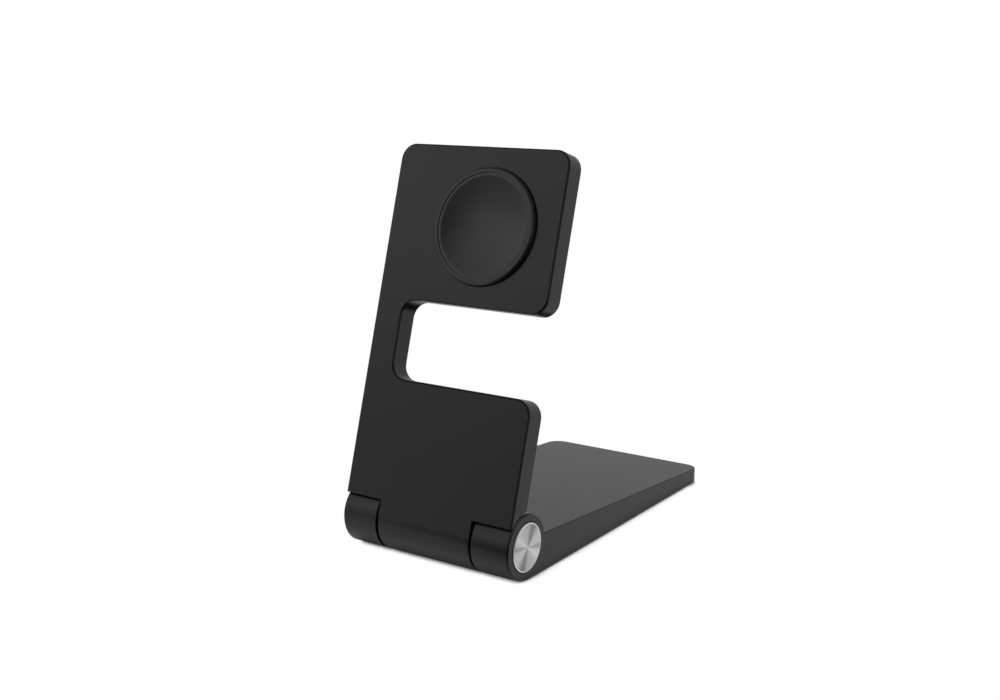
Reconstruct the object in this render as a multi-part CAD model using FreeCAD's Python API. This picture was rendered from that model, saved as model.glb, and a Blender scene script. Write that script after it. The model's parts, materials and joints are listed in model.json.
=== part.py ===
import FreeCAD, Part
import math
import os

V = FreeCAD.Vector
NEAR = 0.01

# Overall sizes, millimetres and degrees
WIDTH = 48.4
KNUCKLE_R = 7.95
LEAN = 16.5
CORNER_R = 4.0
EDGE_BEVEL = 0.4

# Base wedge, measured from the hinge axis and from its underside
BASE_REACH = 90.6
BASE_T_FRONT = 9.75
BASE_T_FAR = 3.6
BASE_BEVEL = 0.15
BASE_WALL = 1.8
BASE_ROOF = 1.5
LIP_START = 5.0
CAVITY_START = 10.4

# Upright plate, heights measured along the plate from the hinge axis
PLATE_T = 5.7
PANEL_FOOT = 4.1
PANEL_TOP = 33.3
STRAP_GAP = 19.3
HEAD_MARGIN = 5.05
COLUMN_W = 7.8
FRONT_WALL = 1.3
PLATE_WALL = 1.9
PLATE_CAVITY_BOTTOM = 13.0

# Rear cover of the upright
REAR_COVER_T = 1.0
REAR_COVER_INSET = 1.1
REAR_COVER_BOTTOM = 11.8
COVER_GAP = 0.1

# Bottom cover of the base, pad and cover screws
BOTTOM_COVER_T = 1.6
BOTTOM_COVER_INSET = 1.1
BOTTOM_COVER_START = 9.2
PAD_T = 0.8
PAD_PROUD = 0.3
PAD_INSET = 4.0
BOSS_R = 2.3
SCREW_R = 0.8
SCREW_HEAD_R = 1.5
SCREW_HEAD_T = 0.7
SCREW_LENGTH = 2.3
COVER_SCREW_INSET = 6.5
COVER_SCREW_FRONT = 15.5
COVER_SCREW_BACK = 13.3

# Hinge
KNUCKLE_LEN = 10.15
KNUCKLE_GAP = 0.75
RELIEF_GAP = 0.7
BARREL_GAP = 0.5
KNUCKLE_BEVEL = 0.15
RING_W = 2.15
CAP_PROUD = 0.3
CAP_RIM_W = 0.4
CAP_RIM_DROP = 0.1
CAP_SEAT_DEPTH = 1.3
CAP_GAP = 0.06
CAP_SEAT_BEVEL = 0.25
CAP_LEDGE = 1.15
POCKET_DEPTH = 3.6
FLANGE_GAP = 0.2
FLANGE_T = 1.0
PIN_R = 2.5
PIN_BORE_R = 1.2
PIN_GRIP = 7.0
SLEEVE_R = 4.5
SLEEVE_LEN = 7.2
SLEEVE_SLIT = 0.8
SLEEVE_KEY = 0.7
RUN_GAP = 0.04
SEAT_GAP = 0.02
BARREL_BORE_R = 4.0
WASHER_T = 0.6
WASHER_GAP = 0.15

# Stop lug on each end of the middle knuckle, in a groove of the end knuckle
LUG_EDGE = 1.0
LUG_W = 1.2
LUG_HALF_ANGLE = 7.0
LUG_ANGLE = 215.0
LUG_DEPTH = 1.1
LUG_GAP = 0.2
STOP_CLEAR = 0.6

# Charging puck in the head
PUCK_R = 14.0
PUCK_PROUD = 1.2
PUCK_WALL = 1.1
PUCK_HOLE_GAP = 0.2
PUCK_BEVEL = 0.4
PUCK_RIM = 1.2
FACE_T = 0.6
FACE_RIM = 0.8
FACE_DISH = 1.3
FACE_SUNK = 0.2
FACE_LEDGE = 0.7
EAR_OUT = 2.3
EAR_R = 1.7
EAR_T = 0.9
EAR_ANGLES = (45, 135, 225, 315)
PUCK_SCREW_R = 0.6
PUCK_SCREW_HEAD_R = 1.1
PUCK_SCREW_HEAD_T = 0.6
PUCK_SCREW_BITE = 0.8
STACK_GAP = 0.2
PUCK_BOARD_T = 0.6
FERRITE_T = 0.8
COIL_T = 1.0
COIL_INNER_R = 6.2
MAGNET_R = 5.3
MAGNET_GAP = 0.4
TAB_W = 5.0
TAB_OUT = 3.0

# Inlet on the left side wall of the base
INLET_Y = 27.0
INLET_W = 7.6
INLET_H = 2.7
INLET_DEPTH = 5.6
INLET_SHEET = 0.3
INLET_SUNK = 0.3
INLET_TAPER = 0.9
INLET_GAP = 0.25
INLET_CORNER_R = 0.4
TONGUE_W = 4.2
TONGUE_T = 0.65
TONGUE_LEN = 4.0
BOARD_T = 0.8
BOARD_POST = 0.8
BOARD_POST_R = 1.9
BOARD_LEN = 14.0
BOARD_START = 20.0
BOARD_END = 34.5
BOARD_SCREW_INSET = 12.5
BOARD_SCREW_Y = (25.5, 32.5)

# Ballast in the base
BALLAST_START = 36.0
BALLAST_BACK = 17.8
BALLAST_SIDE = 1.0
BALLAST_GAP = 0.3

# Leads
LEAD_R = 0.8
LEAD_BEND = 1.7
LEAD_SIDE = 0.2
LEAD_JOIN = -3.0
CHANNEL_R = 1.1
LEAD_SLOT_W = 5.0
LEAD_SLOT_WALL = 1.5
LEAD_SLOT_SKIN = 0.7

# Values worked out from the sizes above
HALF = WIDTH / 2
UNDER = -KNUCKLE_R
FRONT = -KNUCKLE_R
BACK = FRONT + PLATE_T
RISE = (BASE_T_FAR - BASE_T_FRONT) / BASE_REACH
FOLD = 90 - LEAN - math.degrees(math.atan(RISE))
COLUMN_X = COLUMN_W - HALF
HEAD_BOTTOM = PANEL_TOP + STRAP_GAP
PLATE_TOP = HEAD_BOTTOM + 2 * (PUCK_R + HEAD_MARGIN)
BARREL_HALF = HALF - KNUCKLE_LEN - KNUCKLE_GAP
COVER_TOP = UNDER + BOTTOM_COVER_T
REAR_LEDGE = BACK - REAR_COVER_T
PUCK_X = (COLUMN_X + HALF) / 2
PUCK_Z = (HEAD_BOTTOM + PLATE_TOP) / 2
PUCK_FRONT = FRONT - PUCK_PROUD
FACE_FRONT = PUCK_FRONT + FACE_SUNK
FACE_BACK = FACE_FRONT + FACE_DISH + FACE_T
FACE_R = PUCK_R - PUCK_RIM
STACK_R = FACE_R - FACE_LEDGE - STACK_GAP
BOARD_TOP = COVER_TOP + BOARD_POST + BOARD_T
LEAD_START_Y = BOARD_START + 2 * LEAD_R
LEAD_PLATE_Y = REAR_LEDGE - PUCK_BOARD_T - LEAD_R
LEAD_X = BASE_WALL + LEAD_R + LEAD_SIDE - HALF
LEAD_SLOT_FRONT = FRONT + LEAD_SLOT_WALL
FLANGE_IN = HALF - CAP_SEAT_DEPTH - POCKET_DEPTH
CAP_R = KNUCKLE_R - RING_W
POCKET_R = CAP_R - CAP_LEDGE
LUG_OUTER_R = KNUCKLE_R - LUG_EDGE
LUG_INNER_R = LUG_OUTER_R - LUG_W
WASHER_R = LUG_INNER_R - 3 * LUG_GAP
BOARD_SCREW_X = BOARD_SCREW_INSET - HALF
BALLAST_END = BASE_REACH - BALLAST_BACK
ALONG_X = V(1, 0, 0)
ALONG_Y = V(0, 1, 0)
PLACE = V(0, (KNUCKLE_R - BASE_REACH) / 2, KNUCKLE_R + PAD_PROUD)


def top_z(y):
    """Height of the sloping top of the base at y."""
    return UNDER + BASE_T_FRONT + RISE * y


def rounded(points, radii, closed):
    """Wire through the points with a tangent arc of the given radius at each corner."""
    count = len(points)
    corners = []
    for i in range(count):
        p = points[i]
        end = not closed and i in (0, count - 1)
        if end or radii[i] == 0:
            corners.append((p, None, p))
            continue
        a = (points[i - 1] - p).normalize()
        b = (points[(i + 1) % count] - p).normalize()
        half = a.getAngle(b) / 2
        tangent = radii[i] / math.tan(half)
        middle = (a + b).normalize() * (radii[i] / math.sin(half) - radii[i])
        corners.append((p + a * tangent, p + middle, p + b * tangent))
    edges = []
    for i in range(count):
        first, middle, last = corners[i]
        if middle:
            edges.append(Part.Arc(first, middle, last).toShape())
        if closed or i < count - 1:
            edges.append(Part.makeLine(last, corners[(i + 1) % count][0]))
    return Part.Wire(edges)


def rod(radius, x0, x1):
    """Cylinder on the hinge axis from x0 to x1."""
    return Part.makeCylinder(radius, abs(x1 - x0), V(min(x0, x1), 0, 0), ALONG_X)


def puck_disc(radius, y0, y1):
    """Cylinder on the puck axis from depth y0 to y1."""
    return Part.makeCylinder(radius, abs(y1 - y0), V(PUCK_X, min(y0, y1), PUCK_Z), ALONG_Y)


def block(x0, x1, y0, y1, z0, z1):
    """Box between two opposite corners."""
    return Part.makeBox(x1 - x0, y1 - y0, z1 - z0, V(x0, y0, z0))


def prism_x(outline, x0, x1):
    """Solid with the given (y, z) outline between x0 and x1."""
    points = [V(x0, y, z) for y, z in outline]
    return Part.Face(Part.makePolygon(points + points[:1])).extrude(V(x1 - x0, 0, 0))


def rounded_slab(x0, x1, y0, y1, radius, z0, z1):
    """Flat plate with four rounded upright corners."""
    points = [V(x0, y0, z0), V(x1, y0, z0), V(x1, y1, z0), V(x0, y1, z0)]
    return Part.Face(rounded(points, [radius] * 4, True)).extrude(V(0, 0, z1 - z0))


def ring_sector(inner, outer, a0, a1, x0, x1):
    """Part of a ring about the hinge axis, between two angles taken from +Y towards +Z."""
    def at(r, a):
        return V(x0, r * math.cos(math.radians(a)), r * math.sin(math.radians(a)))
    mid = (a0 + a1) / 2
    edges = [Part.Arc(at(inner, a0), at(inner, mid), at(inner, a1)).toShape(),
             Part.makeLine(at(inner, a1), at(outer, a1)),
             Part.Arc(at(outer, a1), at(outer, mid), at(outer, a0)).toShape(),
             Part.makeLine(at(outer, a0), at(inner, a0))]
    return Part.Face(Part.Wire(edges)).extrude(V(x1 - x0, 0, 0))


def lead_along(points):
    """Round lead swept along the points, with a bend at each corner."""
    path = rounded(points, [LEAD_BEND] * len(points), False)
    ring = Part.makeCircle(LEAD_R, points[0], points[1] - points[0])
    return path.makePipeShell([Part.Wire([ring])], True, True)


def compound(solids):
    """Several loose solids as one node."""
    return Part.makeCompound(solids)


# Base body: wedge, end knuckles and everything fixed to them

def base_slab():
    """Wedge with rounded far corners and bevelled top and bottom edges."""
    slab = prism_x([(0, UNDER), (BASE_REACH, UNDER), (BASE_REACH, top_z(BASE_REACH)), (0, top_z(0))],
                   -HALF, HALF)
    upright_edges = [e for e in slab.Edges
                     if e.BoundBox.YMin > BASE_REACH - NEAR and e.BoundBox.XLength < NEAR]
    slab = slab.makeFillet(CORNER_R, upright_edges)
    soft = []
    for e in slab.Edges:
        ends = [v.Point for v in e.Vertexes]
        on_top = all(abs(p.z - top_z(p.y)) < NEAR for p in ends)
        on_bottom = all(abs(p.z - UNDER) < NEAR for p in ends)
        if (on_top or on_bottom) and e.BoundBox.YMax > NEAR:
            soft.append(e)
    return slab.makeChamfer(BASE_BEVEL, soft)


def end_knuckle(side):
    """Solid hinge knuckle at one end of the base."""
    outer = side * HALF
    inner = side * (HALF - KNUCKLE_LEN)
    knuckle = rod(KNUCKLE_R, inner, outer)
    rims = [e for e in knuckle.Edges if abs(e.BoundBox.XMin - outer) < NEAR and e.BoundBox.XLength < NEAR]
    return knuckle.makeChamfer(EDGE_BEVEL, rims)


def knuckle_cuts(side):
    """Cap seat with its bevelled mouth, pin pocket, pin bore and stop groove of one end knuckle."""
    seat = side * (HALF - CAP_SEAT_DEPTH)
    flange = side * FLANGE_IN
    inner = side * (HALF - KNUCKLE_LEN)
    rest = LUG_ANGLE - LEAN
    start = rest - FOLD - LUG_HALF_ANGLE - STOP_CLEAR
    stop = rest + LUG_HALF_ANGLE + STOP_CLEAR
    groove = ring_sector(LUG_INNER_R - LUG_GAP, LUG_OUTER_R + LUG_GAP, start, stop,
                         inner, inner + side * (LUG_DEPTH + LUG_GAP))
    seat_r = CAP_R + CAP_GAP
    mouth = Part.makeCone(seat_r + CAP_SEAT_BEVEL, seat_r, CAP_SEAT_BEVEL,
                          V(side * HALF, 0, 0), V(-side, 0, 0))
    return [rod(seat_r, side * HALF, seat), mouth, rod(POCKET_R, seat, flange),
            rod(PIN_R + SEAT_GAP, flange, inner), groove]


def base_cavity():
    """Hollow of the wedge, open at the bottom, with the step that takes the bottom cover."""
    far = BASE_REACH - BASE_WALL
    side = HALF - BASE_WALL
    roof = [(CAVITY_START, UNDER), (far, UNDER), (far, top_z(far) - BASE_ROOF),
            (CAVITY_START, top_z(CAVITY_START) - BASE_ROOF)]
    hollow = prism_x(roof, -side, side)
    corners = [e for e in hollow.Edges if e.BoundBox.XLength < NEAR and e.BoundBox.YLength < NEAR]
    hollow = hollow.makeFillet(CORNER_R - BASE_WALL, corners)
    return hollow.fuse(bottom_cover_blank(0, UNDER, COVER_TOP))


def bottom_cover_blank(gap, z0, z1):
    """Rounded outline of the bottom cover, smaller by gap all round."""
    inset = BOTTOM_COVER_INSET + gap
    return rounded_slab(inset - HALF, HALF - inset, BOTTOM_COVER_START + gap, BASE_REACH - inset,
                        CORNER_R - inset, z0, z1)


def cover_screw_places():
    """Places of the four bottom cover screws."""
    side = HALF - COVER_SCREW_INSET
    return [(x, y) for x in (-side, side) for y in (COVER_SCREW_FRONT, BASE_REACH - COVER_SCREW_BACK)]


def base_shell():
    """Wedge and end knuckles in one piece, hollow below."""
    shell = base_slab().fuse([end_knuckle(-1), end_knuckle(1)])
    inner = HALF - KNUCKLE_LEN
    shell = shell.cut([rod(KNUCKLE_R + BARREL_GAP, -inner, inner),
                       block(-inner, inner, -KNUCKLE_R, LIP_START, UNDER, KNUCKLE_R)])
    shell = shell.cut(base_cavity())
    bosses = [Part.makeCylinder(BOSS_R, top_z(y) - BASE_ROOF / 2 - COVER_TOP, V(x, y, COVER_TOP))
              for x, y in cover_screw_places()]
    shell = shell.fuse(bosses)
    depth = SCREW_LENGTH - BOTTOM_COVER_T + PAD_T
    holes = [Part.makeCylinder(SCREW_R, depth, V(x, y, COVER_TOP)) for x, y in cover_screw_places()]
    shell = shell.cut(holes)
    shell = shell.cut(knuckle_cuts(-1) + knuckle_cuts(1))
    reach = V(0, CAVITY_START + CORNER_R, channel_z(CAVITY_START + CORNER_R))
    channel = Part.makeCylinder(CHANNEL_R, reach.Length, V(LEAD_X, 0, 0), reach)
    return shell.cut([channel, inlet_mouth()]).removeSplitter()


def channel_z(y):
    """Height of the lead on its way down from the hinge axis to the inlet board."""
    return (BOARD_TOP + LEAD_R) * y / LEAD_START_Y


def inlet_mouth():
    """Window in the left wall round the inlet socket."""
    y0 = INLET_Y - INLET_W / 2 - INLET_GAP
    y1 = INLET_Y + INLET_W / 2 + INLET_GAP
    z0 = BOARD_TOP - INLET_GAP
    z1 = BOARD_TOP + INLET_H + INLET_GAP
    points = [V(-HALF, y0, z0), V(-HALF, y1, z0), V(-HALF, y1, z1), V(-HALF, y0, z1)]
    return Part.Face(rounded(points, [INLET_CORNER_R] * 4, True)).extrude(V(BASE_WALL, 0, 0))


def base_bottom_cover():
    """Flat cover with a shallow seat for the pad, screw holes and posts for the board."""
    cover = bottom_cover_blank(COVER_GAP, UNDER, COVER_TOP)
    posts = [Part.makeCylinder(BOARD_POST_R, BOARD_POST, V(BOARD_SCREW_X, y, COVER_TOP))
             for y in BOARD_SCREW_Y]
    cover = cover.fuse(posts)
    cuts = [pad_blank(COVER_GAP, UNDER, UNDER + PAD_T - PAD_PROUD)]
    for x, y in cover_screw_places():
        cuts.append(countersunk(x, y, SEAT_GAP))
    for y in BOARD_SCREW_Y:
        cuts.append(Part.makeCylinder(PUCK_SCREW_R, BOARD_POST, V(BOARD_SCREW_X, y, COVER_TOP)))
    return cover.cut(cuts)


def pad_blank(gap, z0, z1):
    """Rounded outline of the pad, larger by gap all round."""
    x = HALF - PAD_INSET + gap
    return rounded_slab(-x, x, BOTTOM_COVER_START + PAD_INSET - gap, BASE_REACH - PAD_INSET + gap,
                        CORNER_R, z0, z1)


def rubber_pad():
    """Non-slip pad glued into the bottom cover, standing a little proud of it."""
    pad = pad_blank(0, UNDER - PAD_PROUD, UNDER + PAD_T - PAD_PROUD)
    rim = [e for e in pad.Edges if e.BoundBox.ZMax < UNDER - PAD_PROUD + NEAR]
    return pad.makeChamfer(PAD_PROUD / 2, rim)


def countersunk(x, y, gap):
    """Countersunk screw standing head down under the cover."""
    z = UNDER + PAD_T - PAD_PROUD
    head = Part.makeCone(SCREW_HEAD_R + gap, SCREW_R + gap, SCREW_HEAD_T, V(x, y, z))
    shank = Part.makeCylinder(SCREW_R + gap, SCREW_LENGTH, V(x, y, z))
    return head.fuse(shank)


def bottom_cover_screws():
    """Four screws under the pad."""
    return compound([countersunk(x, y, 0) for x, y in cover_screw_places()])


def ballast_plate():
    """Steel wedge that keeps the stand from tipping."""
    side = HALF - BASE_WALL - BALLAST_SIDE
    low = BASE_ROOF + BALLAST_GAP
    return prism_x([(BALLAST_START, COVER_TOP), (BALLAST_END, COVER_TOP),
                    (BALLAST_END, top_z(BALLAST_END) - low),
                    (BALLAST_START, top_z(BALLAST_START) - low)], -side, side)


def inlet_board():
    """Small circuit board behind the inlet socket."""
    x0 = BASE_WALL + BALLAST_GAP - HALF
    board = block(x0, x0 + BOARD_LEN, BOARD_START, BOARD_END, BOARD_TOP - BOARD_T, BOARD_TOP)
    under = BOARD_TOP - BOARD_T
    return board.cut([Part.makeCylinder(PUCK_SCREW_R + SEAT_GAP, BOARD_T, V(BOARD_SCREW_X, y, under))
                      for y in BOARD_SCREW_Y])


def inlet_board_screws():
    """Two pan-head screws that hold the inlet board on its posts."""
    screws = []
    for y in BOARD_SCREW_Y:
        head = Part.makeCylinder(PUCK_SCREW_HEAD_R, PUCK_SCREW_HEAD_T, V(BOARD_SCREW_X, y, BOARD_TOP))
        shank = Part.makeCylinder(PUCK_SCREW_R, BOARD_T + BOARD_POST, V(BOARD_SCREW_X, y, COVER_TOP))
        screws.append(head.fuse(shank))
    return compound(screws)


def inlet_profile(sheet):
    """Outline of the socket in (y, z), moved inwards by the sheet thickness."""
    wide = INLET_W / 2 - sheet
    narrow = wide - INLET_TAPER
    low = BOARD_TOP + sheet
    high = BOARD_TOP + INLET_H - sheet
    middle = (low + high) / 2
    return [(INLET_Y - narrow, low), (INLET_Y + narrow, low), (INLET_Y + wide, middle),
            (INLET_Y + wide, high), (INLET_Y - wide, high), (INLET_Y - wide, middle)]


def inlet_socket():
    """Sheet metal shell of the inlet socket, closed at its inner end."""
    mouth = INLET_SUNK - HALF
    outside = prism_x(inlet_profile(0), mouth, mouth + INLET_DEPTH)
    return outside.cut(prism_x(inlet_profile(INLET_SHEET), mouth, mouth + INLET_DEPTH - INLET_SHEET))


def inlet_tongue():
    """Plastic tongue that carries the contacts inside the socket."""
    back = INLET_SUNK - HALF + INLET_DEPTH - INLET_SHEET
    middle = BOARD_TOP + INLET_H / 2
    return block(back - TONGUE_LEN, back, INLET_Y - TONGUE_W / 2, INLET_Y + TONGUE_W / 2,
                 middle, middle + TONGUE_T)


def hinge_pin(side, bore):
    """Flanged steel pin through one end knuckle into the middle one."""
    flange = side * FLANGE_IN
    tip = side * (BARREL_HALF - PIN_GRIP)
    head = rod(POCKET_R - FLANGE_GAP, flange, flange + side * FLANGE_T)
    pin = head.fuse(rod(PIN_R, flange, tip))
    if bore:
        pin = pin.cut(rod(bore, flange + side * FLANGE_T, tip))
    return pin.removeSplitter()


def hinge_cap(side):
    """Flat turned disc with a shallow sloping rim, a little proud, that closes the end of the knuckle."""
    shoulder = side * (HALF + CAP_PROUD - CAP_RIM_DROP)
    cap = rod(CAP_R, side * (HALF - CAP_SEAT_DEPTH), shoulder)
    rim = Part.makeCone(CAP_R, CAP_R - CAP_RIM_W, CAP_RIM_DROP, V(shoulder, 0, 0), V(side, 0, 0))
    return cap.fuse(rim).removeSplitter()


def base_lead():
    """Lead from the inlet board through the left knuckle to the middle of the hinge."""
    height = BOARD_TOP + LEAD_R
    return lead_along([V(BOARD_SCREW_X, LEAD_START_Y, height), V(LEAD_X, LEAD_START_Y, height),
                       V(LEAD_X, 0, 0), V(LEAD_JOIN, 0, 0)])


# Upright body, drawn standing straight up on the hinge axis

def plate_outline(inset, bottom, y):
    """C-shaped outline of the plate, moved inwards by inset, on the plane at depth y."""
    left = inset - HALF
    right = HALF - inset
    column = COLUMN_X - inset
    low = PANEL_TOP - inset
    high = HEAD_BOTTOM + inset
    top = PLATE_TOP - inset
    points = [V(left, y, bottom), V(right, y, bottom), V(right, y, low), V(column, y, low),
              V(column, y, high), V(right, y, high), V(right, y, top), V(left, y, top)]
    outside = CORNER_R - inset
    inside = CORNER_R + inset
    foot = outside if inset else 0
    return rounded(points, [foot, foot, outside, inside, inside, outside, outside, outside], True)


def plate_blank():
    """Solid C plate with bevelled front and back edges."""
    plate = Part.Face(plate_outline(0, 0, FRONT)).extrude(V(0, PLATE_T, 0))
    soft = [e for e in plate.Edges if e.BoundBox.YLength < NEAR and e.BoundBox.ZMax > NEAR]
    return plate.makeChamfer(EDGE_BEVEL, soft)


def barrel_blank():
    """Middle knuckle with a stop lug on each end."""
    barrel = rod(KNUCKLE_R, -BARREL_HALF, BARREL_HALF)
    rims = [e for e in barrel.Edges if e.BoundBox.XLength < NEAR]
    barrel = barrel.makeChamfer(KNUCKLE_BEVEL, rims)
    lugs = []
    for side in (-1, 1):
        end = side * BARREL_HALF
        lugs.append(ring_sector(LUG_INNER_R, LUG_OUTER_R, LUG_ANGLE - LUG_HALF_ANGLE,
                                LUG_ANGLE + LUG_HALF_ANGLE, end, end + side * (KNUCKLE_GAP + LUG_DEPTH)))
    return barrel.fuse(lugs)


def end_reliefs():
    """Room for the end knuckles: round them, and a flat cut that blunts the panel's lower front edge."""
    reliefs = []
    for x0, x1 in ((-HALF, -BARREL_HALF), (BARREL_HALF, HALF)):
        reliefs.append(rod(KNUCKLE_R + RELIEF_GAP, x0, x1))
        reliefs.append(block(x0, x1, FRONT, BACK, 0, PANEL_FOOT))
    return reliefs


def upright_shell():
    """C plate and middle knuckle in one piece, hollow from behind."""
    shell = plate_blank()
    shell = shell.cut(end_reliefs()).fuse(barrel_blank())
    recess = Part.Face(plate_outline(REAR_COVER_INSET, REAR_COVER_BOTTOM, REAR_LEDGE))
    hollow = Part.Face(plate_outline(PLATE_WALL, PLATE_CAVITY_BOTTOM, FRONT + FRONT_WALL))
    cuts = [recess.extrude(V(0, REAR_COVER_T, 0)), hollow.extrude(V(0, PLATE_T - FRONT_WALL, 0)),
            puck_disc(PUCK_R + PUCK_HOLE_GAP, FRONT, FRONT + FRONT_WALL),
            rod(BARREL_BORE_R, -BARREL_HALF, BARREL_HALF),
            lead_slot(0, -LEAD_SLOT_W / 4, LEAD_SLOT_W / 2),
            lead_slot(BACK - LEAD_SLOT_SKIN, 0, PLATE_CAVITY_BOTTOM)]
    for side in (-1, 1):
        cuts.append(sleeve_blank(side, SEAT_GAP))
    for x, z in ear_places():
        cuts.append(Part.makeCylinder(PUCK_SCREW_R, PUCK_SCREW_BITE,
                                      V(x, FRONT + FRONT_WALL - PUCK_SCREW_BITE, z), ALONG_Y))
    return shell.cut(cuts).removeSplitter()


def lead_slot(back, low, high):
    """Way for the lead from the middle knuckle's bore into the hollow of the plate."""
    return block(-LEAD_SLOT_W / 2, LEAD_SLOT_W / 2, LEAD_SLOT_FRONT, back, low, high)


def sleeve_blank(side, gap):
    """Outside of a friction sleeve with its key, larger by gap."""
    end = side * BARREL_HALF
    deep = side * (BARREL_HALF - SLEEVE_LEN)
    key = block(min(end, deep), max(end, deep), -SLEEVE_KEY - gap, SLEEVE_KEY + gap,
                0, SLEEVE_R + SLEEVE_KEY + gap)
    return rod(SLEEVE_R + gap, end, deep).fuse(key)


def friction_sleeve(side):
    """Slit sleeve, keyed into the middle knuckle, that grips the pin."""
    end = side * BARREL_HALF
    deep = side * (BARREL_HALF - SLEEVE_LEN)
    slit = block(min(end, deep), max(end, deep), -SLEEVE_SLIT / 2, SLEEVE_SLIT / 2, -SLEEVE_R, 0)
    return sleeve_blank(side, 0).cut([rod(PIN_R + RUN_GAP, end, deep), slit])


def thrust_washer(side):
    """Thin washer between the middle knuckle and an end knuckle."""
    middle = BARREL_HALF + KNUCKLE_GAP / 2
    x0 = side * (middle - WASHER_T / 2)
    x1 = side * (middle + WASHER_T / 2)
    return rod(WASHER_R, x0, x1).cut(rod(PIN_R + WASHER_GAP, x0, x1))


def rear_cover():
    """Flat cover let into the back of the plate."""
    inset = REAR_COVER_INSET + COVER_GAP
    cover = Part.Face(plate_outline(inset, REAR_COVER_BOTTOM + COVER_GAP, REAR_LEDGE))
    cover = cover.extrude(V(0, REAR_COVER_T, 0))
    rim = [e for e in cover.Edges if e.BoundBox.YMin > BACK - NEAR]
    return cover.makeChamfer(COVER_GAP, rim)


def ear_places():
    """Centres of the puck housing's screw ears."""
    reach = PUCK_R + EAR_OUT
    return [(PUCK_X + reach * math.cos(math.radians(a)), PUCK_Z + reach * math.sin(math.radians(a)))
            for a in EAR_ANGLES]


def puck_housing():
    """Round cup of the charging puck, with a ledge for its face and screw ears behind the wall."""
    cup = puck_disc(PUCK_R, PUCK_FRONT, REAR_LEDGE)
    rim = [e for e in cup.Edges if e.BoundBox.YMax < PUCK_FRONT + NEAR and e.BoundBox.YLength < NEAR]
    cup = cup.makeChamfer(PUCK_BEVEL, rim)
    wall_back = FRONT + FRONT_WALL
    ears = []
    for x, z in ear_places():
        turned = math.degrees(math.atan2(z - PUCK_Z, x - PUCK_X))
        bar = block(0, PUCK_R + EAR_OUT, wall_back, wall_back + EAR_T, -EAR_R, EAR_R)
        bar.rotate(V(0, 0, 0), V(0, -1, 0), turned)
        bar.translate(V(PUCK_X, 0, PUCK_Z))
        ears.append(bar)
        ears.append(Part.makeCylinder(EAR_R, EAR_T, V(x, wall_back, z), ALONG_Y))
    cup = cup.fuse(ears)
    cuts = [puck_disc(FACE_R + SEAT_GAP, PUCK_FRONT, FACE_BACK),
            puck_disc(FACE_R - FACE_LEDGE, FACE_BACK, REAR_LEDGE),
            puck_disc(PUCK_R - PUCK_WALL, FACE_BACK + FACE_LEDGE, REAR_LEDGE), tab_block(COVER_GAP)]
    for x, z in ear_places():
        cuts.append(Part.makeCylinder(PUCK_SCREW_R + SEAT_GAP, EAR_T, V(x, wall_back, z), ALONG_Y))
    return cup.cut(cuts).removeSplitter()


def tab_block(gap):
    """Space of the board's tab through the left side of the cup, larger by gap."""
    return block(PUCK_X - PUCK_R - TAB_OUT, PUCK_X, REAR_LEDGE - PUCK_BOARD_T - gap, REAR_LEDGE,
                 PUCK_Z - TAB_W / 2 - gap, PUCK_Z + TAB_W / 2 + gap)


def puck_face():
    """Charging face, flat behind and dished in front by a shallow sphere."""
    rim = FACE_R - FACE_RIM
    radius = (rim ** 2 + FACE_DISH ** 2) / (2 * FACE_DISH)
    dish = Part.makeSphere(radius, V(PUCK_X, FACE_FRONT + FACE_DISH - radius, PUCK_Z))
    return puck_disc(FACE_R, FACE_FRONT, FACE_BACK).cut(dish)


def charger_board():
    """Round board at the back of the puck with a tab for the lead."""
    return puck_disc(STACK_R, REAR_LEDGE - PUCK_BOARD_T, REAR_LEDGE).fuse(tab_block(0)).removeSplitter()


def ferrite_shield():
    """Flat ferrite ring behind the coil."""
    back = REAR_LEDGE - PUCK_BOARD_T
    hole = puck_disc(MAGNET_R + COVER_GAP, back - FERRITE_T, back)
    return puck_disc(STACK_R, back - FERRITE_T, back).cut(hole)


def charging_coil():
    """Flat wound coil, drawn as one ring."""
    back = REAR_LEDGE - PUCK_BOARD_T - FERRITE_T
    return puck_disc(STACK_R, back - COIL_T, back).cut(puck_disc(COIL_INNER_R, back - COIL_T, back))


def alignment_magnet():
    """Round magnet in the middle of the coil."""
    back = REAR_LEDGE - PUCK_BOARD_T
    return puck_disc(MAGNET_R, FACE_BACK + MAGNET_GAP, back)


def puck_screws():
    """Four pan-head screws through the ears into the front wall."""
    screws = []
    wall_back = FRONT + FRONT_WALL
    for x, z in ear_places():
        head = Part.makeCylinder(PUCK_SCREW_HEAD_R, PUCK_SCREW_HEAD_T, V(x, wall_back + EAR_T, z), ALONG_Y)
        shank = Part.makeCylinder(PUCK_SCREW_R, PUCK_SCREW_BITE + EAR_T,
                                  V(x, wall_back - PUCK_SCREW_BITE, z), ALONG_Y)
        screws.append(head.fuse(shank))
    return compound(screws)


def upright_lead():
    """Lead from the middle of the hinge up the column to the puck's board."""
    column = COLUMN_X - COLUMN_W / 2
    y = LEAD_PLATE_Y
    knee = PLATE_CAVITY_BOTTOM + 2 * LEAD_BEND
    return lead_along([V(LEAD_JOIN, 0, 0), V(0, 0, 0), V(0, y, 0), V(0, y, knee),
                       V(column, y, PANEL_TOP - CORNER_R), V(column, y, PUCK_Z),
                       V(PUCK_X - PUCK_R - LEAD_R, y, PUCK_Z)])


# Node names with the body that carries them

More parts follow.
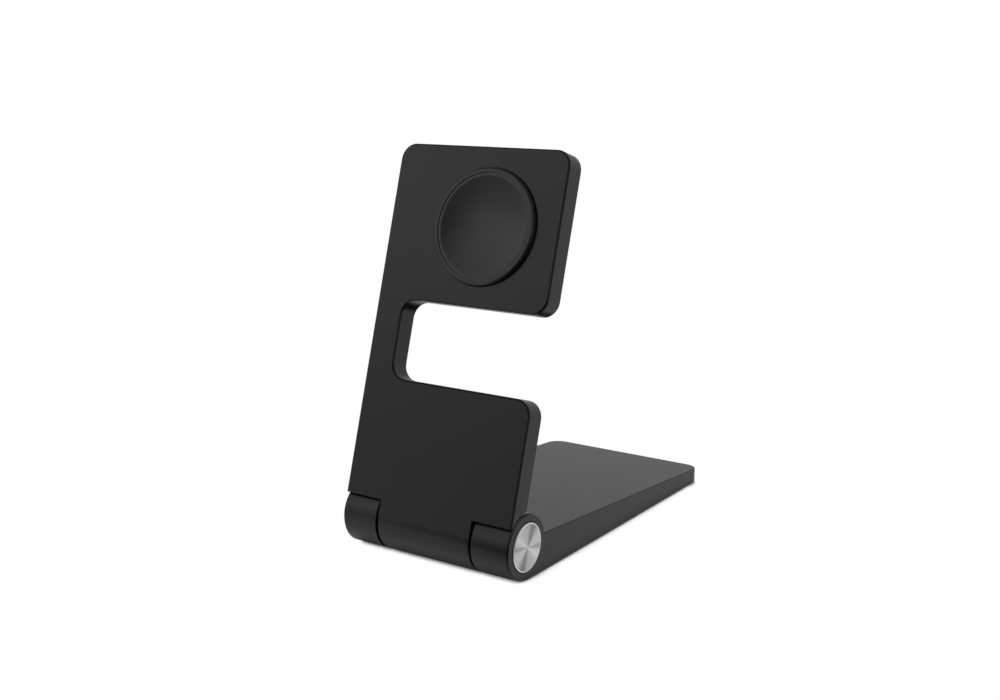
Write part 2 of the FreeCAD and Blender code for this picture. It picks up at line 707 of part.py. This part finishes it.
BASE_NODES = {
    "base_shell": base_shell(),
    "base_bottom_cover": base_bottom_cover(),
    "rubber_pad": rubber_pad(),
    "bottom_cover_screws": bottom_cover_screws(),
    "ballast_plate": ballast_plate(),
    "inlet_board": inlet_board(),
    "inlet_board_screws": inlet_board_screws(),
    "inlet_socket": inlet_socket(),
    "inlet_tongue": inlet_tongue(),
    "hinge_pin_left": hinge_pin(-1, PIN_BORE_R),
    "hinge_pin_right": hinge_pin(1, 0),
    "hinge_cap_left": hinge_cap(-1),
    "hinge_cap_right": hinge_cap(1),
    "base_lead": base_lead(),
}

UPRIGHT_NODES = {
    "upright_shell": upright_shell(),
    "rear_cover": rear_cover(),
    "friction_sleeve_left": friction_sleeve(-1),
    "friction_sleeve_right": friction_sleeve(1),
    "thrust_washer_left": thrust_washer(-1),
    "thrust_washer_right": thrust_washer(1),
    "puck_housing": puck_housing(),
    "puck_face": puck_face(),
    "charging_coil": charging_coil(),
    "ferrite_shield": ferrite_shield(),
    "alignment_magnet": alignment_magnet(),
    "charger_board": charger_board(),
    "puck_screws": puck_screws(),
    "upright_lead": upright_lead(),
}

os.makedirs("parts", exist_ok=True)
for name, shape in UPRIGHT_NODES.items():
    shape.rotate(V(0, 0, 0), ALONG_X, -LEAN)
for name, shape in {**BASE_NODES, **UPRIGHT_NODES}.items():
    shape.translate(PLACE)
    shape.exportStep("parts/" + name + ".step")
    print(name, "valid", shape.isValid(), "solids", len(shape.Solids), "volume", round(shape.Volume, 1))
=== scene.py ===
import json
import math

import bpy
import numpy as np
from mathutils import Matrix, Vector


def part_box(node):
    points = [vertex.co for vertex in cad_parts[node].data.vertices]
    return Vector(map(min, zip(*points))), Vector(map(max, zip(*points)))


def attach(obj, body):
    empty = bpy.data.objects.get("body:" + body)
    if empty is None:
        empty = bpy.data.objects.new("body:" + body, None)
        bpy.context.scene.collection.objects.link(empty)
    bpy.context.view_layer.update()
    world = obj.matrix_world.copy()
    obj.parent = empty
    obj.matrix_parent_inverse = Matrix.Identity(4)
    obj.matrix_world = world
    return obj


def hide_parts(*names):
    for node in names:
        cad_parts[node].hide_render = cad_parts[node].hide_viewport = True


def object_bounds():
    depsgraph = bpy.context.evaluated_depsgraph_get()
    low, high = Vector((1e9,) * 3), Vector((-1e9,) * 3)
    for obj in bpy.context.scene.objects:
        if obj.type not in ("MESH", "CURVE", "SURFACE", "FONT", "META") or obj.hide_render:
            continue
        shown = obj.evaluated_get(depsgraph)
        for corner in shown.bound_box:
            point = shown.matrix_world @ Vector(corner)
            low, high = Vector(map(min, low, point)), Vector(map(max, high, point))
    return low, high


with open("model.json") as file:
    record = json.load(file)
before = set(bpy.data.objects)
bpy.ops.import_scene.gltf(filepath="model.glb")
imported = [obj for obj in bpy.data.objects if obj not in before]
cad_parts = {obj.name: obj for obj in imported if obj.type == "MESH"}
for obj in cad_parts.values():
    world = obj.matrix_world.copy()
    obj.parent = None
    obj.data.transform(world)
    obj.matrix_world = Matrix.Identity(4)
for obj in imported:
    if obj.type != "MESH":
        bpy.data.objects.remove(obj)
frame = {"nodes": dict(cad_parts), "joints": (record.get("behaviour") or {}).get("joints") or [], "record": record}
cad_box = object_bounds()


# Base shell: a hollow wedge with a hinge knuckle at each end, cast and machined in one piece.
# It is aluminium, bead blasted and anodised black, so the blasting shows as a fine satin grain.

NOISE_LOW = 0.3
NOISE_HIGH = 0.7


def new_finish(name, roughness, metallic=0.0, specular=0.5):
    """Material with one shader whose constant values are set on its own sockets."""
    material = bpy.data.materials.new(name)
    material.use_nodes = True
    shader = material.node_tree.nodes["Principled BSDF"]
    shader.inputs["Roughness"].default_value = roughness
    shader.inputs["Metallic"].default_value = metallic
    shader.inputs["Specular IOR Level"].default_value = specular
    return material


def feed(owner, value, socket):
    """Give an input socket its value: another node's output, a colour of three numbers, or a constant.
    The owner of the nodes is a material or the world."""
    if isinstance(value, bpy.types.NodeSocket):
        owner.node_tree.links.new(value, socket)
    elif socket.type == "RGBA":
        socket.default_value = (*value, 1.0)
    else:
        socket.default_value = value


def add_node(owner, kind, **values):
    """Node of the given kind, with its input sockets fed by name."""
    node = owner.node_tree.nodes.new(kind)
    for socket, value in values.items():
        feed(owner, value, node.inputs[socket.replace("_", " ")])
    return node


def shader_input(material, socket):
    """Input socket of the material's one shader."""
    return material.node_tree.nodes["Principled BSDF"].inputs[socket]


def object_place(material):
    """Object coordinates, which are the part's own metres."""
    return add_node(material, "ShaderNodeTexCoord").outputs["Object"]


def clouds(material, place, size, detail=2.0):
    """Soft noise from 0 to 1 whose blotches are about size metres wide."""
    noise = add_node(material, "ShaderNodeTexNoise", Vector=place, Scale=1.0 / size, Detail=detail)
    return noise.outputs["Fac"]


def ranged(owner, value, start, end, first, last, shape="LINEAR"):
    """Number that runs from first to last while the value runs from start to end, and then stays."""
    span = add_node(owner, "ShaderNodeMapRange", Value=value, From_Min=start, From_Max=end, To_Min=first,
                    To_Max=last)
    span.interpolation_type = shape
    return span.outputs["Result"]


def between(material, noise, low, high):
    """Number that runs from low to high over the middle of the noise."""
    return ranged(material, noise, NOISE_LOW, NOISE_HIGH, low, high)


def shaded(material, factor, *stops):
    """Colour ramp over the factor, with stops of (position, colour)."""
    ramp = add_node(material, "ShaderNodeValToRGB", Fac=factor)
    elements = ramp.color_ramp.elements
    while len(elements) < len(stops):
        elements.new(0.5)
    for element, (position, colour) in zip(elements, stops):
        element.position = position
        element.color = (*colour, 1.0)
    return ramp.outputs["Color"]


def toned(material, noise, dark, light):
    """Colour that runs from dark to light over the middle of the noise."""
    return shaded(material, noise, (NOISE_LOW, dark), (NOISE_HIGH, light))


def grey(level):
    """Colour with equal red, green and blue."""
    return (level, level, level)


def dented(material, height, depth):
    """Surface grain: the height from 0 to 1 stands for depth metres."""
    bump = add_node(material, "ShaderNodeBump", Strength=1.0, Distance=depth, Height=height)
    feed(material, bump.outputs["Normal"], shader_input(material, "Normal"))


def grained(name, dark, light, roughness, grain, depth, drift=0.012, metallic=0.0, specular=0.5):
    """Finish whose colour and roughness drift in broad clouds under an even fine grain."""
    material = new_finish(name, roughness[0], metallic, specular)
    place = object_place(material)
    broad = clouds(material, place, drift)
    feed(material, toned(material, broad, dark, light), shader_input(material, "Base Color"))
    feed(material, between(material, broad, *roughness), shader_input(material, "Roughness"))
    dented(material, clouds(material, place, grain, detail=1.0), depth)
    return material


def coat(material, *nodes):
    """The CAD nodes wear the material."""
    for name in nodes:
        mesh = frame["nodes"][name].data
        mesh.materials.clear()
        mesh.materials.append(material)


anodised = grained("black_anodised_satin", dark=grey(0.0046), light=grey(0.0056), roughness=(0.285, 0.305),
                   grain=0.00014, depth=0.0000018, specular=0.45)
coat(anodised, "base_shell")


# Ballast: a sheared steel wedge that lies on the bottom cover and keeps the stand from tipping.
# It is left as rolled, with faint lines along the rolling direction.

def streaked(name, dark, light, roughness, stretch, size, depth):
    """Bare metal whose tone, roughness and scratches come from noise scaled by stretch along each axis."""
    material = new_finish(name, roughness[0], metallic=1.0)
    squeezed = add_node(material, "ShaderNodeMapping", Vector=object_place(material), Scale=stretch)
    lines = clouds(material, squeezed.outputs["Vector"], size, detail=3.0)
    feed(material, toned(material, lines, dark, light), shader_input(material, "Base Color"))
    feed(material, between(material, lines, *roughness), shader_input(material, "Roughness"))
    dented(material, lines, depth)
    return material


rolled_steel = streaked("rolled_steel", dark=(0.36, 0.36, 0.37), light=(0.52, 0.52, 0.53),
                        roughness=(0.34, 0.5), stretch=(1.0, 0.04, 1.0), size=0.0004, depth=0.000004)
coat(rolled_steel, "ballast_plate")


# Inlet board: a small glass-fibre circuit board on two posts of the bottom cover, held by two screws.
# Green solder mask covers its copper, which shows through as a lighter net of tracks.

TRACK_CELL = 0.0016
TRACK_EDGE = 0.05
MASK_EDGE = 0.09
TRACK_RELIEF = 0.000015
TRACK_GREEN = (0.07, 0.30, 0.13)
MASK_GREEN = (0.022, 0.15, 0.06)

board_mask = new_finish("green_solder_mask", roughness=0.32)
cells = add_node(board_mask, "ShaderNodeTexVoronoi", Vector=object_place(board_mask),
                 Scale=1.0 / TRACK_CELL, Randomness=0.35)
cells.feature = "DISTANCE_TO_EDGE"
border = cells.outputs["Distance"]
feed(board_mask, shaded(board_mask, border, (TRACK_EDGE, TRACK_GREEN), (MASK_EDGE, MASK_GREEN)),
     shader_input(board_mask, "Base Color"))
dented(board_mask, between(board_mask, border, 1.0, 0.0), TRACK_RELIEF)
coat(board_mask, "inlet_board")
screw_steel = streaked("turned_steel", dark=grey(0.48), light=grey(0.66), roughness=(0.22, 0.34),
                       stretch=(1.0, 1.0, 6.0), size=0.0006, depth=0.000003)
coat(screw_steel, "inlet_board_screws")


# Inlet socket: a shell folded from thin plated steel, soldered to the board behind a window in the wall.
# Inside, a black moulded tongue carries five sprung contacts plated with gold.

CONTACTS = 5
CONTACT_PITCH = 0.00072
CONTACT_W = 0.00036
CONTACT_T = 0.00009
CONTACT_SETBACK = 0.0005
CONTACT_STEPS = 12
CONTACT_SIDES = 16


def surface(name, grid, material, body):
    """Closed piece from a grid of points: rows along the piece, each a loop of points round it.
    Neighbouring rows are joined by four-sided faces, and a face closes each of the two end rows."""
    rows, loop = grid.shape[:2]
    index = np.arange(rows * loop).reshape(rows, loop)
    after = np.roll(index, -1, axis=1)
    quads = np.stack([index[:-1], after[:-1], after[1:], index[1:]], axis=-1).reshape(-1, 4)
    faces = quads.tolist() + [index[0, ::-1].tolist(), index[-1].tolist()]
    mesh = bpy.data.meshes.new(name)
    mesh.from_pydata(grid.reshape(-1, 3).tolist(), [], faces)
    mesh.materials.append(material)
    piece = bpy.data.objects.new(name, mesh)
    bpy.context.scene.collection.objects.link(piece)
    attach(piece, body)
    return piece


def flat_sided(wave):
    """Square root of a wave's size, with the sign of the wave: a circle of such waves has flat sides."""
    return np.sign(wave) * np.sqrt(np.abs(wave))


def contact_strip(x0, x1, y, z):
    """Flat strip along X: an oblong section with soft corners is carried from x0 to x1.
    Between its ends the strip bows upwards by its own thickness, as half a sine wave."""
    along = np.linspace(0.0, 1.0, CONTACT_STEPS + 1)[:, None]
    turn = np.linspace(0.0, 2 * np.pi, CONTACT_SIDES + 1)[None, :-1]
    wide = flat_sided(np.cos(turn)) * CONTACT_W / 2
    thick = flat_sided(np.sin(turn)) * CONTACT_T / 2
    rise = CONTACT_T * np.sin(np.pi * along)
    return np.stack(np.broadcast_arrays(x0 + (x1 - x0) * along, y + wide, z + thick + rise), axis=-1)


socket_plate = grained("plated_socket_shell", dark=(0.55, 0.55, 0.57), light=(0.68, 0.68, 0.70),
                       roughness=(0.2, 0.3), grain=0.0003, depth=0.000002, drift=0.002, metallic=1.0)
coat(socket_plate, "inlet_socket")
tongue_moulding = grained("black_contact_tongue", dark=grey(0.012), light=grey(0.02),
                          roughness=(0.45, 0.55), grain=0.0001, depth=0.000004, drift=0.001)
coat(tongue_moulding, "inlet_tongue")
gold_plate = grained("gold_contact_plate", dark=(0.72, 0.50, 0.20), light=(0.86, 0.62, 0.28),
                     roughness=(0.2, 0.3), grain=0.00008, depth=0.000001, drift=0.0006, metallic=1.0)
tongue_low, tongue_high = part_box("inlet_tongue")
tongue_middle = (tongue_low.y + tongue_high.y) / 2
for number in range(CONTACTS):
    side = (number - (CONTACTS - 1) / 2) * CONTACT_PITCH
    strip = contact_strip(tongue_low.x + CONTACT_SETBACK, tongue_high.x, tongue_middle + side,
                          tongue_low.z - CONTACT_T)
    surface(f"inlet_contact_{number + 1}", strip, gold_plate, "base")


# Bottom cover and rear cover: flat plastic mouldings let into the base and into the back of the upright.
# Both have the even spark-eroded grain of their mould, a little coarser and duller than the metal.

cover_grain = grained("grained_cover_moulding", dark=(0.0135, 0.0135, 0.0138),
                      light=(0.0165, 0.0165, 0.0168), roughness=(0.5, 0.58), grain=0.00032,
                      depth=0.000012, specular=0.35)
coat(cover_grain, "base_bottom_cover", "rear_cover")
coat(screw_steel, "bottom_cover_screws")


# Non-slip pad: a sheet of black rubber, die cut and glued into the bottom cover.
# It is matte, with the fine cloth-like texture of its press plate and a little dust in the grain.

PAD_WEAVE = 0.0007
PAD_RELIEF = 0.00004
WEAVE_WOBBLE = 0.4
WAVE_RADIANS = 20
DUST_PATCH = 0.006
DUST_START = 0.35
DUST_FULL = 0.75
RUBBER_BLACK = (0.016, 0.016, 0.016)
RUBBER_DUSTY = (0.026, 0.026, 0.025)


def worked(owner, kind, operation, *operands):
    """Outputs of a math node: one operation on numbers or on vectors, each an output or a constant."""
    node = owner.node_tree.nodes.new(kind)
    node.operation = operation
    for operand, socket in zip(operands, node.inputs):
        feed(owner, operand, socket)
    return node.outputs


pad_rubber = new_finish("pressed_rubber", roughness=0.82, specular=0.25)
pad_place = object_place(pad_rubber)
threads = []
for axis in ("X", "Y"):
    wave = add_node(pad_rubber, "ShaderNodeTexWave", Vector=pad_place,
                    Scale=2 * math.pi / (WAVE_RADIANS * PAD_WEAVE), Distortion=WEAVE_WOBBLE, Detail=0.0)
    wave.bands_direction = axis
    threads.append(wave.outputs["Fac"])
crossing = worked(pad_rubber, "ShaderNodeMath", "MULTIPLY", *threads)["Value"]
dust = clouds(pad_rubber, pad_place, DUST_PATCH, detail=4.0)
feed(pad_rubber, shaded(pad_rubber, dust, (DUST_START, RUBBER_BLACK), (DUST_FULL, RUBBER_DUSTY)),
     shader_input(pad_rubber, "Base Color"))
dented(pad_rubber, crossing, PAD_RELIEF)
coat(pad_rubber, "rubber_pad")


# Hinge: flanged steel pins run from the end knuckles into slit bronze sleeves that grip them.
# Thin washers of natural plastic keep the black faces from rubbing on each other.

coat(screw_steel, "hinge_pin_left", "hinge_pin_right")
bronze = grained("sintered_bronze", dark=(0.42, 0.27, 0.12), light=(0.56, 0.38, 0.18),
                 roughness=(0.4, 0.55), grain=0.00018, depth=0.000008, drift=0.0015, metallic=1.0)
coat(bronze, "friction_sleeve_left", "friction_sleeve_right")
washer_plastic = grained("natural_washer_plastic", dark=(0.70, 0.69, 0.64), light=(0.78, 0.77, 0.72),
                         roughness=(0.4, 0.5), grain=0.0002, depth=0.000004, drift=0.002)
coat(washer_plastic, "thrust_washer_left", "thrust_washer_right")


# End discs: aluminium discs pressed into the ends of the knuckles, faced on a lathe, with a bright rim.
# The cut leaves fine rings round the hinge axis, in colour, roughness and bumps, and stretches reflections
# along the radius. The light and dark sectors round the middle are painted reflection, in the colour by angle.
# The painted sheen lists the tone of each sector over half a turn, and the other half repeats it.

RING_PITCH = 0.00016
RING_DEPTH = 0.0000015
RING_SHADE = 0.88
RING_GROOVE = 0.25
RING_CREST = 0.75
RING_ROUGHNESS = (0.27, 0.33)
GROOVE_STRETCH = 0.8
QUARTER_TURN = 0.25
RIM_W = 0.00028
RIM_EDGE = RIM_W / 10
RIM_TONE = 0.93
PAINTED_SHEEN_BLUE = 0.01
PAINTED_SHEEN_TONES = ((0.0, 0.63), (0.05, 0.52), (0.11, 0.31), (0.18, 0.31), (0.25, 0.56), (0.34, 0.79), (0.48, 0.84),
       (0.56, 0.53), (0.63, 0.92), (0.71, 0.99), (0.84, 0.70), (1.0, 0.63))


def mixed(owner, share, first, second, blend="MIX"):
    """Colour that the second blends into the first by the given share, as a plain mix or another blend."""
    mix = add_node(owner, "ShaderNodeMixRGB", Fac=share, Color1=first, Color2=second)
    mix.blend_type = blend
    return mix.outputs["Color"]


hinge = np.array(frame["joints"][0]["pos_m"])
spun = new_finish("spun_aluminium_painted_sheen", sum(RING_ROUGHNESS) / 2, metallic=1.0)
shader_input(spun, "Anisotropic").default_value = GROOVE_STRETCH
shader_input(spun, "Anisotropic Rotation").default_value = QUARTER_TURN
grooves = add_node(spun, "ShaderNodeTangent")
grooves.direction_type = "RADIAL"
grooves.axis = "X"
feed(spun, grooves.outputs["Tangent"], shader_input(spun, "Tangent"))
centred = add_node(spun, "ShaderNodeMapping", Vector=object_place(spun), Location=-hinge)
from_axis = centred.outputs["Vector"]
flat = worked(spun, "ShaderNodeVectorMath", "MULTIPLY", from_axis, (0.0, 1.0, 1.0))["Vector"]
reach = worked(spun, "ShaderNodeVectorMath", "LENGTH", flat)["Value"]
ring_noise = add_node(spun, "ShaderNodeTexNoise", Scale=1.0 / RING_PITCH, Detail=3.0)
ring_noise.noise_dimensions = "1D"
feed(spun, reach, ring_noise.inputs["W"])
rings = ring_noise.outputs["Fac"]
across = add_node(spun, "ShaderNodeSeparateXYZ", Vector=from_axis).outputs
turn = worked(spun, "ShaderNodeMath", "ARCTAN2", across["Y"], across["Z"])["Value"]
half_turns = worked(spun, "ShaderNodeMath", "DIVIDE", turn, math.pi)["Value"]
sector = worked(spun, "ShaderNodeMath", "FRACT", half_turns)["Value"]
# Painted sheen: light and dark sectors by the angle round the axis, painted into the colour.
painted_sheen = shaded(spun, sector, *((place, (tone, tone, tone + PAINTED_SHEEN_BLUE)) for place, tone in PAINTED_SHEEN_TONES))
ringed = shaded(spun, rings, (RING_GROOVE, grey(RING_SHADE)), (RING_CREST, grey(1.0)))
faced = mixed(spun, 1.0, painted_sheen, ringed, blend="MULTIPLY")
cap_low, cap_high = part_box("hinge_cap_right")
rim_start = (cap_high.z - cap_low.z) / 2 - RIM_W
rim = ranged(spun, reach, rim_start - RIM_EDGE, rim_start, 0.0, 1.0)
feed(spun, mixed(spun, rim, faced, grey(RIM_TONE)), shader_input(spun, "Base Color"))
feed(spun, between(spun, rings, *RING_ROUGHNESS), shader_input(spun, "Roughness"))
dented(spun, rings, RING_DEPTH)
coat(spun, "hinge_cap_left", "hinge_cap_right")


# Leads: two round sheathed leads, one from the inlet board into the hollow pin, one up the column.
# The sheath is soft black plastic with the faint grain of extrusion.

lead_sheath = grained("lead_sheath", dark=grey(0.016), light=grey(0.026), roughness=(0.5, 0.62),
                      grain=0.0005, depth=0.00001, drift=0.003)
coat(lead_sheath, "base_lead", "upright_lead")


# Upright shell: a C-shaped plate with the middle hinge knuckle, machined from the same aluminium.
# It is finished with the base, so it wears the same black.

coat(anodised, "upright_shell")


# Charging puck: a moulded cup screwed into the head from behind, with a polished dish for a face.
# Behind the face lie a magnet, a flat coil on its ferrite ring, and a round board.

WIRE_R = 0.00024
WIRE_FILL = 0.96
WIRE_SIDES = 8
COIL_TURNS = 11
COIL_BORE_GAP = 0.0009
STEPS_A_TURN = 72
LAYER_CHANGE = 6


def flat_coil(centre, axis, outer, inner):
    """Wire wound as a flat spiral in two layers: the radius falls evenly to the inside over the first half
    and grows again over the second, while the layer changes smoothly at the middle. A ring of points round
    the wire is carried along that path, spread along the radius and along the axis of the coil."""
    right = np.array([1.0, 0.0, 0.0])
    up = np.cross(right, axis)
    turns = np.linspace(-COIL_TURNS, COIL_TURNS, 2 * COIL_TURNS * STEPS_A_TURN + 1)
    angle = 2 * np.pi * turns
    radius = inner + WIRE_R + (outer - inner - 2 * WIRE_R) * np.abs(turns) / COIL_TURNS
    layer = WIRE_R * np.tanh(LAYER_CHANGE * turns)
    radial = np.cos(angle)[:, None] * right + np.sin(angle)[:, None] * up
    path = centre + radius[:, None] * radial + layer[:, None] * axis
    around = np.linspace(0.0, 2 * np.pi, WIRE_SIDES + 1)[:-1]
    ring = np.cos(around)[None, :, None] * radial[:, None] + np.sin(around)[None, :, None] * axis
    return path[:, None] + WIRE_R * WIRE_FILL * ring


cup_moulding = grained("puck_cup_moulding", dark=(0.011, 0.011, 0.0115), light=(0.0135, 0.0135, 0.014),
                       roughness=(0.3, 0.36), grain=0.0002, depth=0.0000015)
coat(cup_moulding, "puck_housing")
polished_dish = grained("polished_dish", dark=(0.006, 0.006, 0.0062), light=(0.0075, 0.0075, 0.0077),
                        roughness=(0.24, 0.28), grain=0.0008, depth=0.0000006)
coat(polished_dish, "puck_face")
coat(screw_steel, "puck_screws")
nickel_plate = grained("nickel_plate", dark=(0.58, 0.57, 0.54), light=(0.68, 0.67, 0.64),
                       roughness=(0.14, 0.24), grain=0.0006, depth=0.000001, drift=0.003, metallic=1.0)
coat(nickel_plate, "alignment_magnet")
ferrite = grained("sintered_ferrite", dark=(0.045, 0.044, 0.043), light=(0.07, 0.068, 0.066),
                  roughness=(0.6, 0.72), grain=0.0002, depth=0.00001, drift=0.003)
coat(ferrite, "ferrite_shield")
coat(board_mask, "charger_board")
enamel = grained("enamelled_copper", dark=(0.50, 0.20, 0.08), light=(0.66, 0.30, 0.13),
                 roughness=(0.22, 0.32), grain=0.0006, depth=0.000003, drift=0.004, metallic=1.0)
coat(enamel, "charging_coil")
coil_low, coil_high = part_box("charging_coil")
coil_middle = np.array((coil_low + coil_high) / 2)
coil_reach = (coil_high.x - coil_low.x) / 2
magnet_low, magnet_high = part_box("alignment_magnet")
magnet_reach = (magnet_high.x - magnet_low.x) / 2
mounts = {mount["name"]: mount for mount in frame["record"]["mounts"]}
face_axis = np.array(mounts["charging_face"]["axis"])
wire = flat_coil(coil_middle, face_axis, coil_reach, magnet_reach + COIL_BORE_GAP)
winding = surface("charging_coil_winding", wire, enamel, "upright")
winding.data.polygons.foreach_set("use_smooth", np.ones(len(winding.data.polygons), dtype=bool))
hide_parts("charging_coil")


# Camera: where the photographer stood, a little above the head, to the right of the front.
# The picture is level, with its middle on the lens axis.

CAMERA_AZIMUTH = 34.2
CAMERA_ELEVATION = 12.5
CAMERA_FROM_HINGE = np.array([0.178065, -0.237293, 0.10903])
LENS_MM = 47.08
SENSOR_MM = 36.0
NEAREST_SEEN = 0.01

camera = bpy.data.objects.new("camera", bpy.data.cameras.new("camera"))
camera.data.lens = LENS_MM
camera.data.sensor_width = SENSOR_MM
camera.data.sensor_fit = "HORIZONTAL"
camera.data.clip_start = NEAREST_SEEN
camera.location = hinge + CAMERA_FROM_HINGE
camera.rotation_euler = (math.radians(90 - CAMERA_ELEVATION), 0.0, math.radians(CAMERA_AZIMUTH))
bpy.context.scene.collection.objects.link(camera)
bpy.context.scene.camera = camera


# Floor: a wide sheet of white acrylic lit from below, with a thin contact shade round the part.
# The contact shade is painted shade: the glow darkens where the part is near, not under the shadow of a lamp.
# Nearness is felt leaning to the front, keeping the painted shade narrow there, and upright at the far end.
# In the part's black faces the floor glows more dimly, with its own painted shade near the part,
# and it ends at the foot of a screen that stands at the front right.

FLOOR_HALF = 6.0
FLOOR_GLOW = 0.61
CONTACT_REACH = 0.006
CONTACT_LEAN = (0.3, -0.7, 0.5)
CONTACT_SHADE = ((0.4, 0.08), (0.46, 0.18), (0.52, 0.4), (0.55, 0.76), (0.575, 1.0))
FAR_END_LEAN = (0.0, -0.1, 1.0)
FAR_END_FADE = (0.008, 0.002)
SHADE_REACH = 0.005
SHADE_DARK = 0.1
SHADE_LIGHT = 0.9
SCREEN_TURN = math.radians(42)
SCREEN_FOOT = 0.04
SCREEN_HEM = 0.02

floor_mesh = bpy.data.meshes.new("floor")
floor_mesh.from_pydata([(-FLOOR_HALF, -FLOOR_HALF, 0), (FLOOR_HALF, -FLOOR_HALF, 0),
                        (FLOOR_HALF, FLOOR_HALF, 0), (-FLOOR_HALF, FLOOR_HALF, 0)], [], [(0, 1, 2, 3)])
floor = bpy.data.objects.new("floor", floor_mesh)
bpy.context.scene.collection.objects.link(floor)
acrylic = bpy.data.materials.new("lit_acrylic")
acrylic.use_nodes = True
acrylic.node_tree.nodes.remove(acrylic.node_tree.nodes["Principled BSDF"])
floor_place = object_place(acrylic)
on_floor = add_node(acrylic, "ShaderNodeSeparateXYZ", Vector=floor_place).outputs
sideways = ranged(acrylic, on_floor["X"], cad_box[0].x, cad_box[1].x, CONTACT_LEAN[0], -CONTACT_LEAN[0])
along_sides = add_node(acrylic, "ShaderNodeCombineXYZ", X=sideways, Y=CONTACT_LEAN[1], Z=CONTACT_LEAN[2])
fade_start, fade_end = (cad_box[1].y - distance for distance in FAR_END_FADE)
far_end = ranged(acrylic, on_floor["Y"], fade_start, fade_end, 0.0, 1.0)
lean = mixed(acrylic, far_end, along_sides.outputs["Vector"], FAR_END_LEAN)
leaning = worked(acrylic, "ShaderNodeVectorMath", "NORMALIZE", lean)["Vector"]
# Painted contact shade: the floor's white darkens by how near the part is.
near = add_node(acrylic, "ShaderNodeAmbientOcclusion", Distance=CONTACT_REACH, Normal=leaning)
contact = shaded(acrylic, near.outputs["AO"], *((place, grey(tone)) for place, tone in CONTACT_SHADE))
# Painted shade in reflections: the floor's dimmer glow darkens near the part.
far = add_node(acrylic, "ShaderNodeAmbientOcclusion", Distance=SHADE_REACH)
shade = shaded(acrylic, far.outputs["AO"], (SHADE_DARK, grey(0.0)), (SHADE_LIGHT, grey(FLOOR_GLOW)))
to_screen = (math.sin(SCREEN_TURN), -math.cos(SCREEN_TURN), 0.0)
ahead = worked(acrylic, "ShaderNodeVectorMath", "DOT_PRODUCT", floor_place, to_screen)["Value"]
foot = SCREEN_FOOT - math.cos(SCREEN_TURN) * hinge[1]
hem = ranged(acrylic, ahead, foot - SCREEN_HEM, foot, 1.0, 0.0)
screened = mixed(acrylic, hem, grey(0.0), shade)
seen = add_node(acrylic, "ShaderNodeLightPath").outputs["Is Camera Ray"]
glow = add_node(acrylic, "ShaderNodeEmission", Color=mixed(acrylic, seen, screened, contact), Strength=1.0)
feed(acrylic, glow.outputs["Emission"], acrylic.node_tree.nodes["Material Output"].inputs["Surface"])
floor_mesh.materials.append(acrylic)


# Studio: a pale backdrop low round the horizon fades into a dark ceiling.
# A bright panel stands at the right side and a grey screen at the front right, and all of them show only as
# reflections. The picture's own background is plain white.

ROOM_LIGHT = 0.8
BACKDROP_WHITE = 0.59
BACKDROP_TOP = 0.24
CEILING_DARK = 0.14
CEILING_START = 0.6

studio = bpy.data.worlds.new("studio")
studio.use_nodes = True
bpy.context.scene.world = studio
towards = add_node(studio, "ShaderNodeTexCoord").outputs["Generated"]


def facing(azimuth, elevation, edge, core, outside, inside):
    """Patch of the studio round one direction: outside beyond the edge angle, inside within the core angle.
    Azimuth runs from the front to the right, and all angles are in degrees."""
    turned = math.radians(azimuth)
    lifted = math.radians(elevation)
    middle = (math.sin(turned) * math.cos(lifted), -math.cos(turned) * math.cos(lifted), math.sin(lifted))
    along = worked(studio, "ShaderNodeVectorMath", "DOT_PRODUCT", towards, middle)["Value"]
    limits = (math.cos(math.radians(edge)), math.cos(math.radians(core)))
    return ranged(studio, along, *limits, outside, inside, shape="SMOOTHSTEP")


height = add_node(studio, "ShaderNodeSeparateXYZ", Vector=towards).outputs["Z"]
backdrop = ranged(studio, height, BACKDROP_TOP, CEILING_START, BACKDROP_WHITE, CEILING_DARK)
side_panel = facing(azimuth=108, elevation=26, edge=38, core=24, outside=0.0, inside=0.85)
front_screen = facing(azimuth=28, elevation=8, edge=66, core=40, outside=1.0, inside=0.5)
walls = worked(studio, "ShaderNodeMath", "MAXIMUM", backdrop, side_panel)["Value"]
mirrored = worked(studio, "ShaderNodeMath", "MULTIPLY", walls, front_screen)["Value"]
rays = add_node(studio, "ShaderNodeLightPath").outputs
sharp_rays = (rays["Is Glossy Ray"], rays["Is Transmission Ray"])
sharp = worked(studio, "ShaderNodeMath", "MAXIMUM", *sharp_rays)["Value"]
around = mixed(studio, sharp, grey(ROOM_LIGHT), mirrored)
behind = mixed(studio, rays["Is Camera Ray"], around, grey(1.0))
feed(studio, behind, studio.node_tree.nodes["Background"].inputs["Color"])


# Softbox: one square lamp behind white cloth, on a stand high at the front left of the part.
# It is aimed at the hinge and adds a little light from the front.

SOFTBOX_W = 0.9
SOFTBOX_WATTS = 1.5
SOFTBOX_PLACE = np.array([-0.57, -0.52, 0.68])

softbox = bpy.data.objects.new("softbox", bpy.data.lights.new("softbox", "AREA"))
softbox.data.shape = "SQUARE"
softbox.data.size = SOFTBOX_W
softbox.data.energy = SOFTBOX_WATTS
softbox.location = SOFTBOX_PLACE
away = SOFTBOX_PLACE - hinge
tilt = math.acos(away[2] / np.linalg.norm(away))
softbox.rotation_euler = (tilt, 0.0, math.atan2(away[1], away[0]) + math.pi / 2)
bpy.context.scene.collection.objects.link(softbox)


# Picture: colours go into the picture as they are, with no film look.

bpy.context.scene.view_settings.view_transform = "Standard"
